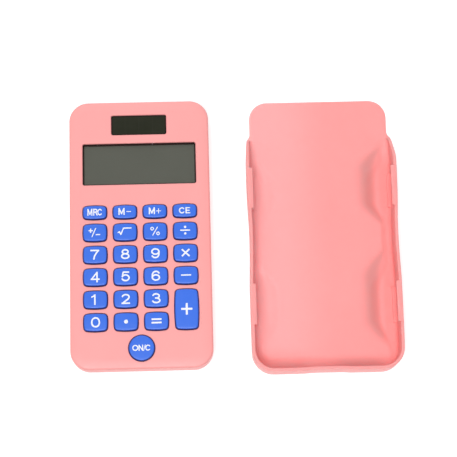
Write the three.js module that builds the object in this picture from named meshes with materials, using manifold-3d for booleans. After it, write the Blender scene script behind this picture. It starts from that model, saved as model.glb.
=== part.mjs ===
// Pocket calculator with its slide-on hard cover.
//
// Frame: millimetres, +Z up. The calculator lies on its back with its keys up.
// The origin is the centre of its rear face, +X points to its right-hand side
// and +Y to its upper end (the solar cell). The cover lies open side up beside
// it, on +X, with its open end towards +Y.
import * as THREE from 'three';
import { mergeVertices } from 'three/addons/utils/BufferGeometryUtils.js';
import Module from 'manifold-3d';

const wasm = await Module();
wasm.setup();

// ---------------------------------------------------------------- dimensions
// Calculator body
const BODY_W = 62.0;             // across, X
const BODY_L = 120.0;            // along, Y
const BODY_T = 10.0;             // front face to rear face, Z
const BODY_R = 8.5;              // corner radius of the outline
const BODY_EDGE = 0.8;           // rounding of the front and rear edges
const WALL = 1.5;                // side walls
const REAR_FLOOR = 1.5;          // rear wall
const FRONT_UNDER = 8.45;        // inner side of the front wall
const PARTING = 4.6;             // height of the parting line
const PARTING_GAP = 0.06;
const JOINT_LAP = 0.7;           // height of the lap joint above the parting line

// Keys
const PITCH_X = 13.2;
const ROW_Y = [9.4, 0.3, -9.6, -19.55, -29.5, -39.45];
const KEY_W = 10.5;
const KEY_H = 8.0;
const KEY_H_TOP_ROW = 6.3;
const KEY_R = 1.9;
const KEY_BOW = 0.4;             // how far each side of a key bulges outwards
const KEY_TOP = 11.1;
const KEY_GAP = 0.25;            // key to its hole, all round
const FLANGE = 0.75;             // flange beyond the key's outline
const FLANGE_Z = [7.75, 8.35];
const ON_Y = -51.0;
const ON_R = 5.65;

// Display and solar cell
const LCD_Y = 31.4;
const LCD_WINDOW = [50.2, 18.8];
const SOLAR_Y = 49.25;
const SOLAR_WINDOW = [24.5, 9.0];
const LIP_UNDER = 9.2;           // the thin lip round each window starts here

// Inside
const PCB_Z = [5.0, 6.0];
const MAT_Z = [6.05, 6.65];
const DOME_TOP = 7.7;
const CASE_SCREWS = [[-25, 54.5], [25, 54.5], [-25, -54.5], [25, -54.5]];
const PCB_SCREWS = [[-13.2, -4.65], [13.2, -4.65], [-13.2, -47], [13.2, -47]];
const CELL_X = 12, CELL_Y = 35, CELL_R = 5.8, CELL_Z = [1.55, 4.6];
const DOOR = { x0: 2, x1: 22, y0: 22.2, y1: 42.2 };   // opening in the rear wall
const DOOR_SCREW = [12, 24.9];

// Cover
const COVER_X = 80.6;
const COVER_TOP = 60.7;          // open end
const COVER_END = -62.9;         // closed end
const COVER_H = 14.2;
const COVER_WALL = 1.35;
const COVER_FLOOR = 1.4;
const PLATE_HW = 31.0;           // half width of the flat plate at the open end
const PLATE_R = 8.0;
const COVER_R = 9.5;
const COVER_HALF = [             // y, half width of the walled part
  [41.6, 32.6], [36, 32.95], [30, 33.2], [24, 33.2], [16, 33.1], [9, 32.85], [2, 32.55],
  [-4, 32.5], [-10, 32.55], [-18, 32.8], [-26, 33.0], [-36, 33.0], [-45, 32.95], [-53.4, 32.85],
];
const LIP_LINE = 30.5;           // inner edge of the retaining lips
const LIP_Z = [13.1, 14.2];
const LIPS_Y = [[9.1, 27.2], [-42.5, -24.6]];
const RIB_LINE = 29.9;           // inner edge of the guide ribs
const RIB_TOP = 2.8;
const RIBS_Y = [[10.6, 26.0], [-41.2, -25.4]];
const RAMP = [                   // y, z of the wall's top edge where it falls to the plate
  [29.8, 14.2], [32, 13.5], [34.5, 11.6], [37.5, 8.6], [40.5, 5.4], [42.6, 2.9], [44.0, 1.4],
];

// ------------------------------------------------------------------- helpers
function solid(geometry) {
  const g = geometry.index ? geometry.toNonIndexed() : geometry.clone();
  for (const a of Object.keys(g.attributes)) if (a !== 'position') g.deleteAttribute(a);
  const m = mergeVertices(g, 1e-4);
  const index = [];
  const src = m.index.array;
  for (let i = 0; i < src.length; i += 3) {
    const [a, b, c] = [src[i], src[i + 1], src[i + 2]];
    if (a !== b && b !== c && a !== c) index.push(a, b, c);
  }
  return new wasm.Manifold(new wasm.Mesh({
    numProp: 3,
    vertProperties: Float32Array.from(m.attributes.position.array),
    triVerts: Uint32Array.from(index),
  }));
}

function geometryOf(man) {
  const mesh = man.getMesh();
  const g = new THREE.BufferGeometry();
  const p = new Float32Array(mesh.numVert * 3);
  for (let i = 0; i < mesh.numVert; i++) {
    for (let k = 0; k < 3; k++) p[3 * i + k] = mesh.vertProperties[mesh.numProp * i + k];
  }
  g.setAttribute('position', new THREE.BufferAttribute(p, 3));
  g.setIndex(Array.from(mesh.triVerts));
  g.computeVertexNormals();
  return g;
}

// prism over a polygon of [x, y] points
function prism(points, z0, z1) {
  const shape = new THREE.Shape(points.map(([x, y]) => new THREE.Vector2(x, y)));
  const g = new THREE.ExtrudeGeometry(shape, { depth: z1 - z0, bevelEnabled: false, steps: 1 });
  g.translate(0, 0, z0);
  return solid(g);
}

// prism along X over a polygon of [y, z] points
function prismX(points, x0, x1) {
  const shape = new THREE.Shape(points.map(([y, z]) => new THREE.Vector2(y, z)));
  const g = new THREE.ExtrudeGeometry(shape, { depth: x1 - x0, bevelEnabled: false, steps: 1 });
  g.applyMatrix4(new THREE.Matrix4().makeBasis(
    new THREE.Vector3(0, 1, 0), new THREE.Vector3(0, 0, 1), new THREE.Vector3(1, 0, 0)));
  g.translate(x0, 0, 0);
  return solid(g);
}

function box(x0, x1, y0, y1, z0, z1) {
  const g = new THREE.BoxGeometry(x1 - x0, y1 - y0, z1 - z0);
  g.translate((x0 + x1) / 2, (y0 + y1) / 2, (z0 + z1) / 2);
  return solid(g);
}

function rod(x, y, z0, z1, r, sides = 16, rTop = r) {
  const g = new THREE.CylinderGeometry(rTop, r, z1 - z0, sides);
  g.rotateX(Math.PI / 2);
  g.translate(x, y, (z0 + z1) / 2);
  return solid(g);
}

// rounded rectangle, counter-clockwise
function roundRect(w, h, r, seg, cx = 0, cy = 0) {
  const pts = [];
  for (const [sx, sy, a0] of [[1, -1, -90], [1, 1, 0], [-1, 1, 90], [-1, -1, 180]]) {
    for (let i = 0; i <= seg; i++) {
      const a = THREE.MathUtils.degToRad(a0 + (90 * i) / seg);
      pts.push([cx + sx * (w / 2 - r) + r * Math.cos(a), cy + sy * (h / 2 - r) + r * Math.sin(a)]);
    }
  }
  return pts;
}

// a key's outline: rounded corners and sides that bulge to w x h at their middles
function keyOutline(w, h, grow, cx, cy) {
  const W = w / 2 + grow, H = h / 2 + grow, r = KEY_R + grow, b = KEY_BOW;
  const out = [];
  const seg = 3;
  for (const [sx, sy, a0] of [[1, -1, -90], [1, 1, 0], [-1, 1, 90], [-1, -1, 180]]) {
    for (let i = 0; i <= seg; i++) {
      const a = THREE.MathUtils.degToRad(a0 + (90 * i) / seg);
      out.push([cx + sx * (W - b - r) + r * Math.cos(a), cy + sy * (H - b - r) + r * Math.sin(a)]);
    }
    const mid = { '1,-1': [W, 0], '1,1': [0, H], '-1,1': [-W, 0], '-1,-1': [0, -H] }[`${sx},${sy}`];
    out.push([cx + mid[0], cy + mid[1]]);
  }
  return out;
}

const circle = (r, n, cx, cy) => Array.from({ length: n }, (_, i) => {
  const a = (2 * Math.PI * i) / n;
  return [cx + r * Math.cos(a), cy + r * Math.sin(a)];
});

const material = (color, roughness, metalness = 0, extra = {}) =>
  new THREE.MeshStandardMaterial({ color, roughness, metalness, ...extra });

const calculator = new THREE.Group();
calculator.name = 'pocket_calculator_with_cover';
function add(name, man, mat, parent = calculator) {
  const mesh = new THREE.Mesh(geometryOf(man), mat);
  mesh.name = name;
  mesh.material.name = name;
  parent.add(mesh);
  return mesh;
}

// ---------------------------------------------------------------------- keys
const COL = [-1.5 * PITCH_X, -0.5 * PITCH_X, 0.5 * PITCH_X, 1.5 * PITCH_X];
const KEYS = [
  ['key_mrc', 0, 0], ['key_m_minus', 1, 0], ['key_m_plus', 2, 0], ['key_ce', 3, 0],
  ['key_sign', 0, 1], ['key_sqrt', 1, 1], ['key_percent', 2, 1], ['key_divide', 3, 1],
  ['key_7', 0, 2], ['key_8', 1, 2], ['key_9', 2, 2], ['key_multiply', 3, 2],
  ['key_4', 0, 3], ['key_5', 1, 3], ['key_6', 2, 3], ['key_minus', 3, 3],
  ['key_1', 0, 4], ['key_2', 1, 4], ['key_3', 2, 4],
  ['key_0', 0, 5], ['key_point', 1, 5], ['key_equals', 2, 5],
].map(([name, c, r]) => ({
  name, x: COL[c], y: ROW_Y[r],
  outline: (grow) => keyOutline(KEY_W, r === 0 ? KEY_H_TOP_ROW : KEY_H, grow, COL[c], ROW_Y[r]),
}));
const PLUS_Y = (ROW_Y[4] + ROW_Y[5]) / 2;
KEYS.push({
  name: 'key_plus', x: COL[3], y: PLUS_Y,
  outline: (grow) => keyOutline(KEY_W, ROW_Y[4] - ROW_Y[5] + KEY_H, grow, COL[3], PLUS_Y),
});
KEYS.push({ name: 'key_on_c', x: 0, y: ON_Y, outline: (grow) => circle(ON_R + grow, 24, 0, ON_Y) });

for (const k of KEYS) {
  const flange = prism(k.outline(FLANGE), FLANGE_Z[0], FLANGE_Z[1]);
  const cap = prism(k.outline(0), FLANGE_Z[0], KEY_TOP);
  add(k.name, flange.add(cap), material(0x447dfa, 0.35));
}

// ------------------------------------------------------------- body outlines
// the whole body as one block with rounded front and rear edges
function bodyBlock() {
  const shape = new THREE.Shape(roundRect(BODY_W, BODY_L, BODY_R, 7).map(([x, y]) => new THREE.Vector2(x, y)));
  const g = new THREE.ExtrudeGeometry(shape, {
    depth: BODY_T - 2 * BODY_EDGE, steps: 1, bevelEnabled: true,
    bevelThickness: BODY_EDGE, bevelSize: BODY_EDGE, bevelOffset: -BODY_EDGE, bevelSegments: 2,
  });
  g.translate(0, 0, BODY_EDGE);
  return solid(g);
}
const inset = (d) => roundRect(BODY_W - 2 * d, BODY_L - 2 * d, BODY_R - d, 7);
const big = (z0, z1) => box(-60, 60, -90, 90, z0, z1);

// ------------------------------------------------------------- front housing
let front = bodyBlock().intersect(big(PARTING + PARTING_GAP, BODY_T + 1));
front = front.subtract(prism(inset(WALL), PARTING - 1, FRONT_UNDER));
front = front.subtract(prism(inset(0.75), PARTING - 1, PARTING + JOINT_LAP + 0.1));
for (const k of KEYS) front = front.subtract(prism(k.outline(KEY_GAP), FRONT_UNDER - 1, BODY_T + 1));
for (const [w, h, y, dw] of [[...LCD_WINDOW, LCD_Y, 1.4], [...SOLAR_WINDOW, SOLAR_Y, 1.05]]) {
  front = front.subtract(prism(roundRect(w, h, 0.8, 3, 0, y), FRONT_UNDER - 1, BODY_T + 1));
  front = front.subtract(prism(roundRect(w + 2 * dw, h + 2 * dw, 0.8, 2, 0, y), FRONT_UNDER - 1, LIP_UNDER));
}
for (const [x, y] of CASE_SCREWS) {
  front = front.add(rod(x, y, PARTING - 0.25, FRONT_UNDER + 0.3, 2.3));
  front = front.subtract(rod(x, y, PARTING - 1, 8.0, 0.95, 12));
}
for (const [x, y] of PCB_SCREWS) {
  front = front.add(rod(x, y, MAT_Z[0], FRONT_UNDER + 0.3, 1.3, 12));
  front = front.subtract(rod(x, y, MAT_Z[0] - 1, 8.25, 0.7, 10));
}
front = front.add(box(-20, 20, 42.6, 43.4, 6.5, FRONT_UNDER + 0.2));
add('front_housing', front, material(0xffa7a5, 0.5));

// -------------------------------------------------------------- rear housing
let rear = bodyBlock().intersect(big(-1, PARTING));
rear = rear.subtract(prism(inset(WALL), REAR_FLOOR, PARTING + 1));
rear = rear.add(prism(inset(0.8), PARTING - 0.6, PARTING + JOINT_LAP)
  .subtract(prism(inset(WALL), PARTING - 2, PARTING + 2)));
for (const [x, y] of CASE_SCREWS) {
  rear = rear.add(rod(x, y, REAR_FLOOR - 0.3, PARTING - 0.3, 2.5));
  rear = rear.subtract(rod(x, y, -1, 1.9, 2.1));
  rear = rear.subtract(rod(x, y, 0, PARTING + 1, 1.2, 12));
}
// battery compartment: walls round the opening, a roof, a well for the cell
const D = DOOR;
rear = rear.add(box(D.x0 - 0.8, D.x1 + 0.8, D.y0 - 0.8, D.y1 + 0.8, REAR_FLOOR - 0.3, 5.25));
rear = rear.subtract(box(D.x0, D.x1, D.y0, D.y1, -1, 4.85));
const well = rod(CELL_X, CELL_Y, 2.6, 5.0, 6.9, 24)
  .subtract(rod(CELL_X, CELL_Y, 2, 5.2, 6.1, 24))
  .subtract(box(0, 30, 20, 33, 0, 6))
  .subtract(box(16.3, 30, 20, 39, 0, 6));
rear = rear.add(well.intersect(box(D.x0 - 0.5, D.x1 + 0.5, D.y0 - 0.5, D.y1 + 0.5, 0, 5)));
rear = rear.add(rod(DOOR_SCREW[0], DOOR_SCREW[1], 2.5, 5.0, 2.4));
rear = rear.subtract(rod(DOOR_SCREW[0], DOOR_SCREW[1], 2, 4.7, 1.25, 12));
// slots for the door's two hooks and for the two contact strips
rear = rear.subtract(box(4.6, 9.4, D.y1 - 0.2, D.y1 + 1.2, REAR_FLOOR, 3.2));
rear = rear.subtract(box(14.6, 19.4, D.y1 - 0.2, D.y1 + 1.2, REAR_FLOOR, 3.2));
rear = rear.subtract(box(6.3, 9.5, D.y0 - 1.2, D.y0 + 0.2, 4.5, 4.85));
rear = rear.subtract(box(17.55, 20.8, D.y0 - 1.2, D.y0 + 0.2, 4.5, 4.85));
// rib that backs the display's lower edge
rear = rear.add(box(-22, D.x0 - 0.5, D.y0 - 0.8, D.y0, REAR_FLOOR - 0.3, 5.25));
add('rear_housing', rear, material(0xffa7a5, 0.5));

// -------------------------------------------------------------- battery door
let door = box(D.x0 + 0.25, D.x1 - 0.25, D.y0 + 0.25, D.y1 - 0.25, 0.15, 1.4);
for (const x of [7, 17]) {
  door = door.add(box(x - 2, x + 2, D.y1 - 1.5, D.y1 - 0.25, 1.2, 2.3));
  door = door.add(box(x - 2, x + 2, D.y1 - 0.8, D.y1 + 1.4, 1.6, 2.3));
}
door = door.add(rod(...DOOR_SCREW, 1.2, 2.2, 2.0));
door = door.subtract(rod(...DOOR_SCREW, -1, 1.2, 1.75));
door = door.subtract(rod(...DOOR_SCREW, 0, 3, 0.95, 12));
// finger grooves across the outside
for (let i = 0; i < 3; i++) door = door.subtract(box(7, 17, 30 + i * 2.4, 30.9 + i * 2.4, -1, 0.45));
add('battery_door', door, material(0xffa7a5, 0.5));

// -------------------------------------------------------------------- screws
function screw(name, x, y, zHead, zSeat, zTip, rHead, rShank, cross) {
  let s = rod(x, y, zHead, zSeat, rHead, 16).add(rod(x, y, zSeat - 0.1, zTip, rShank, 12, rShank * 0.8));
  const w = cross / 5;
  s = s.subtract(box(x - cross / 2, x + cross / 2, y - w / 2, y + w / 2, zHead - 1, zHead + 0.45));
  s = s.subtract(box(x - w / 2, x + w / 2, y - cross / 2, y + cross / 2, zHead - 1, zHead + 0.45));
  add(name, s, material(0xb9bcc0, 0.35, 1));
}
CASE_SCREWS.forEach(([x, y], i) => screw(`case_screw_${i + 1}`, x, y, 0.7, 1.85, 7.4, 1.75, 0.85, 2.2));
PCB_SCREWS.forEach(([x, y], i) => screw(`pcb_screw_${i + 1}`, x, y, 4.1, 4.94, 8.0, 1.3, 0.62, 1.6));
screw('battery_door_screw', ...DOOR_SCREW, 0.3, 1.14, 4.0, 1.5, 0.75, 1.9);

// --------------------------------------------------------- display and solar
add('display_lens', prism(roundRect(LCD_WINDOW[0] + 2.6, LCD_WINDOW[1] + 2.6, 0.7, 2, 0, LCD_Y), 8.47, 9.15),
  material(0xdfe6df, 0.1, 0, { transparent: true, opacity: 0.35 }));
add('lcd_panel', box(-26.5, 26.5, LCD_Y - 11, LCD_Y + 11, 6.3, 7.9), material(0x60625a, 0.3));
add('lcd_ribbon', prismX([[15.5, 6.05], [18.9, 6.05], [20.2, 6.15], [22.9, 6.15], [22.9, 6.25],
  [20.2, 6.25], [18.9, 6.15], [15.5, 6.15]], -23, 23), material(0xc99a4a, 0.5));
add('lcd_foam_pad', box(-22, 22, 20.9, 22.9, 5.3, 6.1), material(0x303030, 0.95));
add('solar_cell', prism(roundRect(SOLAR_WINDOW[0] + 1.9, SOLAR_WINDOW[1] + 1.9, 0.8, 2, 0, SOLAR_Y), 8.05, 9.15), material(0x2a2a22, 0.15));

for (const [name, s] of [['solar_wire_positive', 1], ['solar_wire_negative', -1]]) {
  const path = new THREE.CatmullRomCurve3([
    [9, 49.25, 7.98], [9.2, 49.15, 7.2], [11, 48.2, 6.5], [19, 46.4, 6.42], [25.2, 45, 6.42],
    [27.5, 42.6, 6.42], [27.6, 38, 6.42], [27.6, 28, 6.42], [27.6, 15, 6.42],
  ].map(([x, y, z]) => new THREE.Vector3(s * x, y, z)), false, 'centripetal');
  const section = new THREE.Shape(circle(0.33, 6, 0, 0).map(([x, y]) => new THREE.Vector2(x, y)));
  add(name, solid(new THREE.ExtrudeGeometry(section, { steps: 22, bevelEnabled: false, extrudePath: path })),
    material(s > 0 ? 0xb02020 : 0x202020, 0.6));
}

// ------------------------------------------------------------- circuit board
let pcb = prism([[-28.3, 19], [-28.3, -49.5], [-21.5, -49.5], [-21.5, -57.2], [21.5, -57.2],
  [21.5, -49.5], [28.3, -49.5], [28.3, 19]], ...PCB_Z);
let mat = prism([[-26.5, 13.6], [-26.5, -48.5], [-20, -48.5], [-20, -56.9], [20, -56.9],
  [20, -48.5], [26.5, -48.5], [26.5, 13.6]], ...MAT_Z);
for (const [x, y] of PCB_SCREWS) {
  pcb = pcb.subtract(rod(x, y, 4, 7, 0.9, 12));
  mat = mat.subtract(rod(x, y, 4, 8, 1.7, 12));
}
for (const k of KEYS) mat = mat.add(rod(k.x, k.y, MAT_Z[1] - 0.2, DOME_TOP, 2.6, 10, 1.6));
add('main_pcb', pcb, material(0x2f7a3a, 0.5));
add('key_mat', mat, material(0xd8d8d4, 0.8));
add('chip_blob', solid(new THREE.LatheGeometry([[0, -1.0], [2.4, -0.95], [4.2, -0.55], [5.0, 0], [0, 0]]
  .map(([x, y]) => new THREE.Vector2(x, y)), 20).rotateX(Math.PI / 2).translate(0, -14, 4.94)),
  material(0x151515, 0.35));
add('capacitor', solid(new THREE.CylinderGeometry(1.55, 1.55, 6, 14).rotateZ(Math.PI / 2)
  .translate(-18, 3, 3.35)), material(0x22304a, 0.4));
add('resistor', box(-9.4, -7.4, -15, -13.75, 4.45, 4.94), material(0x1c1c1c, 0.4));

// ------------------------------------------------------------------- battery
add('button_cell', rod(CELL_X, CELL_Y, CELL_Z[0], CELL_Z[1], CELL_R, 28), material(0xc4c7ca, 0.25, 1));
add('battery_contact_negative', box(6.6, 9.2, 15, 37, 4.65, 4.8).add(box(6.6, 9.2, 15, 17.5, 4.7, 4.94)),
  material(0xc9ccd0, 0.3, 1));
add('battery_contact_positive', box(17.86, 20.5, 15, 37, 4.65, 4.8)
  .add(box(17.86, 20.5, 15, 17.5, 4.7, 4.94)).add(box(17.86, 18.1, 33.5, 36.5, 2.2, 4.7)),
  material(0xc9ccd0, 0.3, 1));

// --------------------------------------------------------------------- cover
// outline of the walled part, inset by d, carried up to y = top
function coverWalls(d, top) {
  const side = [[top, COVER_HALF[0][1]], ...COVER_HALF].map(([y, w]) => [w - d, y]);
  const end = COVER_END + d, r = COVER_R - d;
  const last = COVER_HALF.at(-1)[1] - d;
  for (let i = 1; i <= 7; i++) {
    const a = THREE.MathUtils.degToRad(-(90 * i) / 7);
    side.push([last - r + r * Math.cos(a), end + r + r * Math.sin(a)]);
  }
  side.push([10, end], [7, end + 0.3]);
  return [...side, ...side.toReversed().map(([x, y]) => [-x, y])].toReversed();
}
const plate = [];
{
  const half = [];
  for (let i = 0; i <= 6; i++) {
    const a = THREE.MathUtils.degToRad(90 - (90 * i) / 6);
    half.push([PLATE_HW - PLATE_R + PLATE_R * Math.cos(a), COVER_TOP - PLATE_R + PLATE_R * Math.sin(a)]);
  }
  half.push([PLATE_HW, 45.6], [31.5, 44.3], [32.3, 43.4], [32.6, 41.6], [32.6, 38]);
  plate.push(...[...half, ...half.toReversed().map(([x, y]) => [-x, y])].toReversed());
}
let cover = prism(coverWalls(0, 44.0), 0, COVER_H);
cover = cover.subtract(prism(coverWalls(COVER_WALL, 60), COVER_FLOOR, COVER_H + 1));
// the walls ramp down to the plate at the shoulder
cover = cover.subtract(prismX([[45, -1], [45, 16], [RAMP[0][0], 16], ...RAMP, [43.4, -1]], -40, 40));
cover = cover.add(prism(plate, 0, COVER_FLOOR));
const shell = prism(coverWalls(0.4, 43), 0, COVER_H);
for (const s of [-1, 1]) {
  const at = (x0, x1, y0, y1, z0, z1) => (s > 0 ? box(x0, x1, y0, y1, z0, z1) : box(-x1, -x0, y0, y1, z0, z1));
  for (const [y0, y1] of LIPS_Y) cover = cover.add(shell.intersect(at(LIP_LINE, 36, y0, y1, ...LIP_Z)));
  for (const [y0, y1] of RIBS_Y) cover = cover.add(shell.intersect(at(RIB_LINE, 36, y0, y1, 0.5, RIB_TOP)));
}
add('slide_cover', cover, material(0xffa2a0, 0.5)).position.set(COVER_X, 0, 0);

export default calculator;
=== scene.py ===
import math

import bmesh
import bpy
import numpy as np
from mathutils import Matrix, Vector
from mathutils.geometry import delaunay_2d_cdt


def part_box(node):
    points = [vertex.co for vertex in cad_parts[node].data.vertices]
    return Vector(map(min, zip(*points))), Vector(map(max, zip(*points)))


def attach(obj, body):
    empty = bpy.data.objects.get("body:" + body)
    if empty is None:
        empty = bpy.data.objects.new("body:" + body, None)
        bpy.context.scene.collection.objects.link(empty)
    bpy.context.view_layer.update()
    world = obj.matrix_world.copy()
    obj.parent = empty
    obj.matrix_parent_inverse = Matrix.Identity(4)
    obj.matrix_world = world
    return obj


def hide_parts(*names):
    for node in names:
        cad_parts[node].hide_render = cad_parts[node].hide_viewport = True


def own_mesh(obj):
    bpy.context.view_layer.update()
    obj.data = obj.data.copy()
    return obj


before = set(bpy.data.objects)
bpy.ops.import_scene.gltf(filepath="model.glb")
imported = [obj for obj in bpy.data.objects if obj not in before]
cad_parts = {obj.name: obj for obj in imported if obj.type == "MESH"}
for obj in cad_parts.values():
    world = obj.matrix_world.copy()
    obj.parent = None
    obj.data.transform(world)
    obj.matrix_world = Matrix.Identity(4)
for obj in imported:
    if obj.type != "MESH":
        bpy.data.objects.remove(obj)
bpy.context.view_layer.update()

scene = bpy.context.scene
rad = math.radians

# Everything below is worked out in millimetres, in the frame of the CAD model,
# and turned into metres when a mesh is made.
MM = 0.001

# ------------------------------------------------------------------ dimensions
BODY_W, BODY_L, BODY_R = 62.0, 120.0, 8.5
WALL, REAR_FLOOR, FRONT_UNDER = 1.5, 1.5, 8.45
PARTING, PARTING_GAP, JOINT_LAP = 4.6, 0.06, 0.7
PITCH = 13.2
ROW_Y = [9.4, 0.3, -9.6, -19.55, -29.5, -39.45]
COL = [-1.5 * PITCH, -0.5 * PITCH, 0.5 * PITCH, 1.5 * PITCH]
KEY_W, KEY_H, KEY_H_TOP = 10.5, 8.0, 6.3
KEY_R, KEY_GAP, FLANGE, FLANGE_Z, KEY_TOP = 1.5, 0.25, 0.75, (7.75, 8.35), 11.1
ON_Y, ON_R = -51.0, 5.65
LCD_Y, LCD_WINDOW = 31.4, (50.2, 18.8)
SOLAR_Y, SOLAR_WINDOW = 49.25, (24.5, 9.0)
LIP_UNDER = 9.2
CASE_SCREWS = [(-25, 54.5), (25, 54.5), (-25, -54.5), (25, -54.5)]
PCB_SCREWS = [(-13.2, -4.65), (13.2, -4.65), (-13.2, -47), (13.2, -47)]
CELL = (12, 35)
DOOR = (2, 22, 22.2, 42.2)
DOOR_SCREW = (12, 24.9)

COVER_X = 80.6
COVER_TOP, COVER_END, COVER_H = 60.7, -62.9, 14.2
COVER_WALL, COVER_FLOOR, COVER_R = 1.35, 1.4, 9.5
PLATE_HW, PLATE_R = 31.0, 8.0
LIP_LINE, RIB_LINE = 30.5, 29.9
LIPS_Y = [(-42.5, -24.6), (9.1, 27.2)]
RIBS_Y = [(-41.2, -25.4), (10.6, 26.0)]


# --------------------------------------------------------------------- meshes
def loop3(points, z):
    p = np.asarray(points, float)
    out = np.empty((len(p), 3))
    out[:, :2] = p[:, :2]
    out[:, 2] = z
    return out


def loft(loops, cap0=True, cap1=True):
    """Quads between rings that run counter-clockwise and climb, with an n-gon at each end."""
    n = len(loops[0])
    faces = []
    for k in range(len(loops) - 1):
        a, b = k * n, (k + 1) * n
        faces += [(a + i, a + (i + 1) % n, b + (i + 1) % n, b + i) for i in range(n)]
    if cap0:
        faces.append(tuple(reversed(range(n))))
    if cap1:
        faces.append(tuple(range((len(loops) - 1) * n, len(loops) * n)))
    return np.concatenate(loops), faces


def join(parts):
    verts, faces, at = [], [], 0
    for v, f in parts:
        verts.append(np.asarray(v, float))
        faces += [tuple(i + at for i in face) for face in f]
        at += len(v)
    return np.concatenate(verts), faces


def prism(points, z0, z1):
    return loft([loop3(points, z0), loop3(points, z1)])


def rod(x, y, z0, z1, r, n=48, r1=None):
    r1 = r if r1 is None else r1
    return loft([loop3(circle(r, n, x, y), z0), loop3(circle(r1, n, x, y), z1)])


def block(x0, x1, y0, y1, z0, z1):
    return prism([(x0, y0), (x1, y0), (x1, y1), (x0, y1)], z0, z1)


def circle(r, n, cx=0.0, cy=0.0):
    a = np.arange(n) * (2 * np.pi / n)
    return np.c_[cx + r * np.cos(a), cy + r * np.sin(a)]


def round_rect(w, h, r, seg, cx=0.0, cy=0.0):
    pts = []
    for sx, sy, a0 in ((1, -1, -90), (1, 1, 0), (-1, 1, 90), (-1, -1, 180)):
        for i in range(seg + 1):
            a = rad(a0 + 90 * i / seg)
            pts.append((cx + sx * (w / 2 - r) + r * math.cos(a), cy + sy * (h / 2 - r) + r * math.sin(a)))
    return np.array(pts)


def bowed_rect(w, h, grow, cx, cy, corner=8, side=8):
    """A key's outline: rounded corners that run without a break into sides that bow outwards."""
    W, H, r = w / 2, h / 2, KEY_R
    rx = max(12.0, (0.78 * H) ** 2 / 0.62)
    ry = max(12.0, (0.78 * W) ** 2 / 0.62)
    ax, by = W - rx, H - ry                  # centres of the side and end arcs
    px, py = W - r - 0.3, H - r - 0.3
    for _ in range(30):                      # corner circle touches both arcs
        f = np.array([(px - ax) ** 2 + py ** 2 - (rx - r) ** 2, px ** 2 + (py - by) ** 2 - (ry - r) ** 2])
        j = np.array([[2 * (px - ax), 2 * py], [2 * px, 2 * (py - by)]])
        px, py = np.array([px, py]) - np.linalg.solve(j, f)
    a1 = math.atan2(py, px - ax)
    a2 = math.atan2(py - by, px)
    quarter = []
    for i in range(side):
        a = a1 * i / side
        quarter.append((ax + (rx + grow) * math.cos(a), (rx + grow) * math.sin(a)))
    for i in range(corner):
        a = a1 + (a2 - a1) * i / corner
        quarter.append((px + (r + grow) * math.cos(a), py + (r + grow) * math.sin(a)))
    for i in range(side):
        a = a2 + (math.pi / 2 - a2) * i / side
        quarter.append(((ry + grow) * math.cos(a), by + (ry + grow) * math.sin(a)))
    top = [(0.0, H + grow)]
    right = quarter
    left = [(-x, y) for x, y in reversed(quarter)]
    upper = right + top + left               # from (W, 0) over the top to (-W, 0)
    lower = [(x, -y) for x, y in reversed(upper)][1:-1]
    return np.array(upper + lower) + (cx, cy)


def make_mesh(name, data, scale=MM):
    verts, faces = data
    me = bpy.data.meshes.new(name)
    me.from_pydata((np.asarray(verts) * scale).tolist(), [], faces)
    me.validate(clean_customdata=False)
    me.update()
    return me


def make_object(name, me):
    ob = bpy.data.objects.new(name, me)
    scene.collection.objects.link(ob)
    return ob


def boolean(base, cutters, op):
    """base and cutters are (verts, faces) in mm; gives the same back. The cutters must not touch each other."""
    a = make_object("tmp_a", make_mesh("tmp_a", base, 1.0))
    b = make_object("tmp_b", make_mesh("tmp_b", join(cutters), 1.0))
    mod = a.modifiers.new("b", "BOOLEAN")
    mod.operation, mod.object = op, b
    try:
        mod.solver = "MANIFOLD"
    except TypeError:
        mod.solver = "EXACT"
    bpy.context.view_layer.update()
    me = bpy.data.meshes.new_from_object(a.evaluated_get(bpy.context.evaluated_depsgraph_get()))
    if not me.polygons:
        mod.solver = "EXACT"
        bpy.context.view_layer.update()
        me = bpy.data.meshes.new_from_object(a.evaluated_get(bpy.context.evaluated_depsgraph_get()))
    v = np.empty(len(me.vertices) * 3)
    me.vertices.foreach_get("co", v)
    f = [tuple(p.vertices) for p in me.polygons]
    for o in (a, b):
        old = o.data
        bpy.data.objects.remove(o)
        bpy.data.meshes.remove(old)
    bpy.data.meshes.remove(me)
    return v.reshape(-1, 3), f


def finish_piece(name, data, mat, body, replaces=(), angle=38, weighted=True, bevel=None):
    me = make_mesh(name, data)
    bm = bmesh.new()
    bm.from_mesh(me)
    bmesh.ops.remove_doubles(bm, verts=bm.verts, dist=2e-7)
    bmesh.ops.dissolve_degenerate(bm, edges=bm.edges, dist=1e-7)
    bmesh.ops.recalc_face_normals(bm, faces=bm.faces)
    bm.to_mesh(me)
    bm.free()
    ob = make_object(name, me)
    if bevel:
        mod = ob.modifiers.new("edge", "BEVEL")
        mod.width, mod.segments, mod.limit_method, mod.angle_limit = bevel * MM, 3, "ANGLE", rad(50)
        mod.use_clamp_overlap = True
        bpy.context.view_layer.update()
        new = bpy.data.meshes.new_from_object(ob.evaluated_get(bpy.context.evaluated_depsgraph_get()))
        ob.modifiers.clear()
        ob.data = new
        me = new
        me.name = name
    me.polygons.foreach_set("use_smooth", [True] * len(me.polygons))
    me.set_sharp_from_angle(angle=rad(angle))
    if weighted:
        mod = ob.modifiers.new("normals", "WEIGHTED_NORMAL")
        mod.keep_sharp, mod.weight = True, 100
        mod.mode = "FACE_AREA"
    me.materials.clear()
    me.materials.append(mat)
    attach(ob, body)
    if replaces:
        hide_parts(*replaces)
    return ob


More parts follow.
